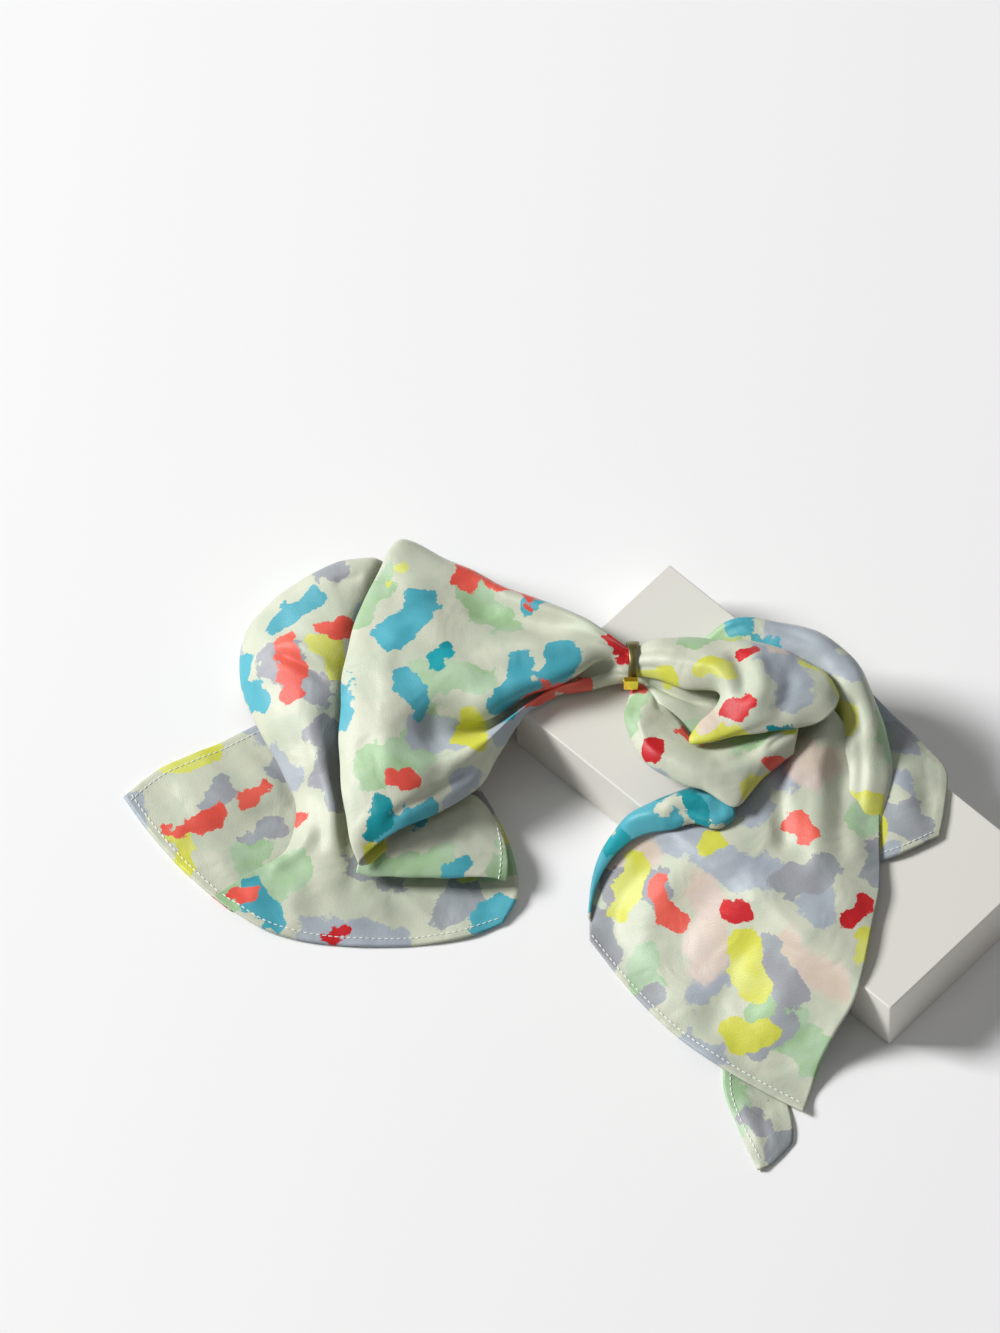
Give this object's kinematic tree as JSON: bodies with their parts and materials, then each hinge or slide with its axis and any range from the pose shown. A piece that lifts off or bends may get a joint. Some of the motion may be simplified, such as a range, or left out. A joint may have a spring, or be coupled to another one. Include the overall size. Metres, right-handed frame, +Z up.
{
  "type": "silk square scarf on a display box",
  "caption": "Printed silk square gathered through a small metal scarf ring, one half on a flat display box and the other spread beside it.",
  "frame": {"origin": "centre of the whole part's bounds, at the floor it stands on", "axes": "+Z up, +X along the spread scarf from its loose left tail towards the box, +Y away from the viewer"},
  "size_m": [0.4562, 0.3548, 0.0726],
  "materials": {
    "silk": "soft sheen printed silk",
    "ring_metal": "polished gold colour",
    "box_card": "smooth wrapped card"
  },
  "bodies": {
    "root": {"left_front_panel": "silk", "left_body": "silk", "left_tail": "silk", "left_middle_fold": "silk", "left_hidden_layers": "silk", "right_lobe": "silk", "right_back_band": "silk", "right_inner_roll": "silk", "right_leaf": "silk", "right_front_tail": "silk", "right_tip": "silk", "right_rear_tail": "silk", "right_hidden_layers": "silk", "ring_band": "ring_metal", "ring_clasp": "ring_metal", "display_box": "box_card"}
  },
  "joints": []
}
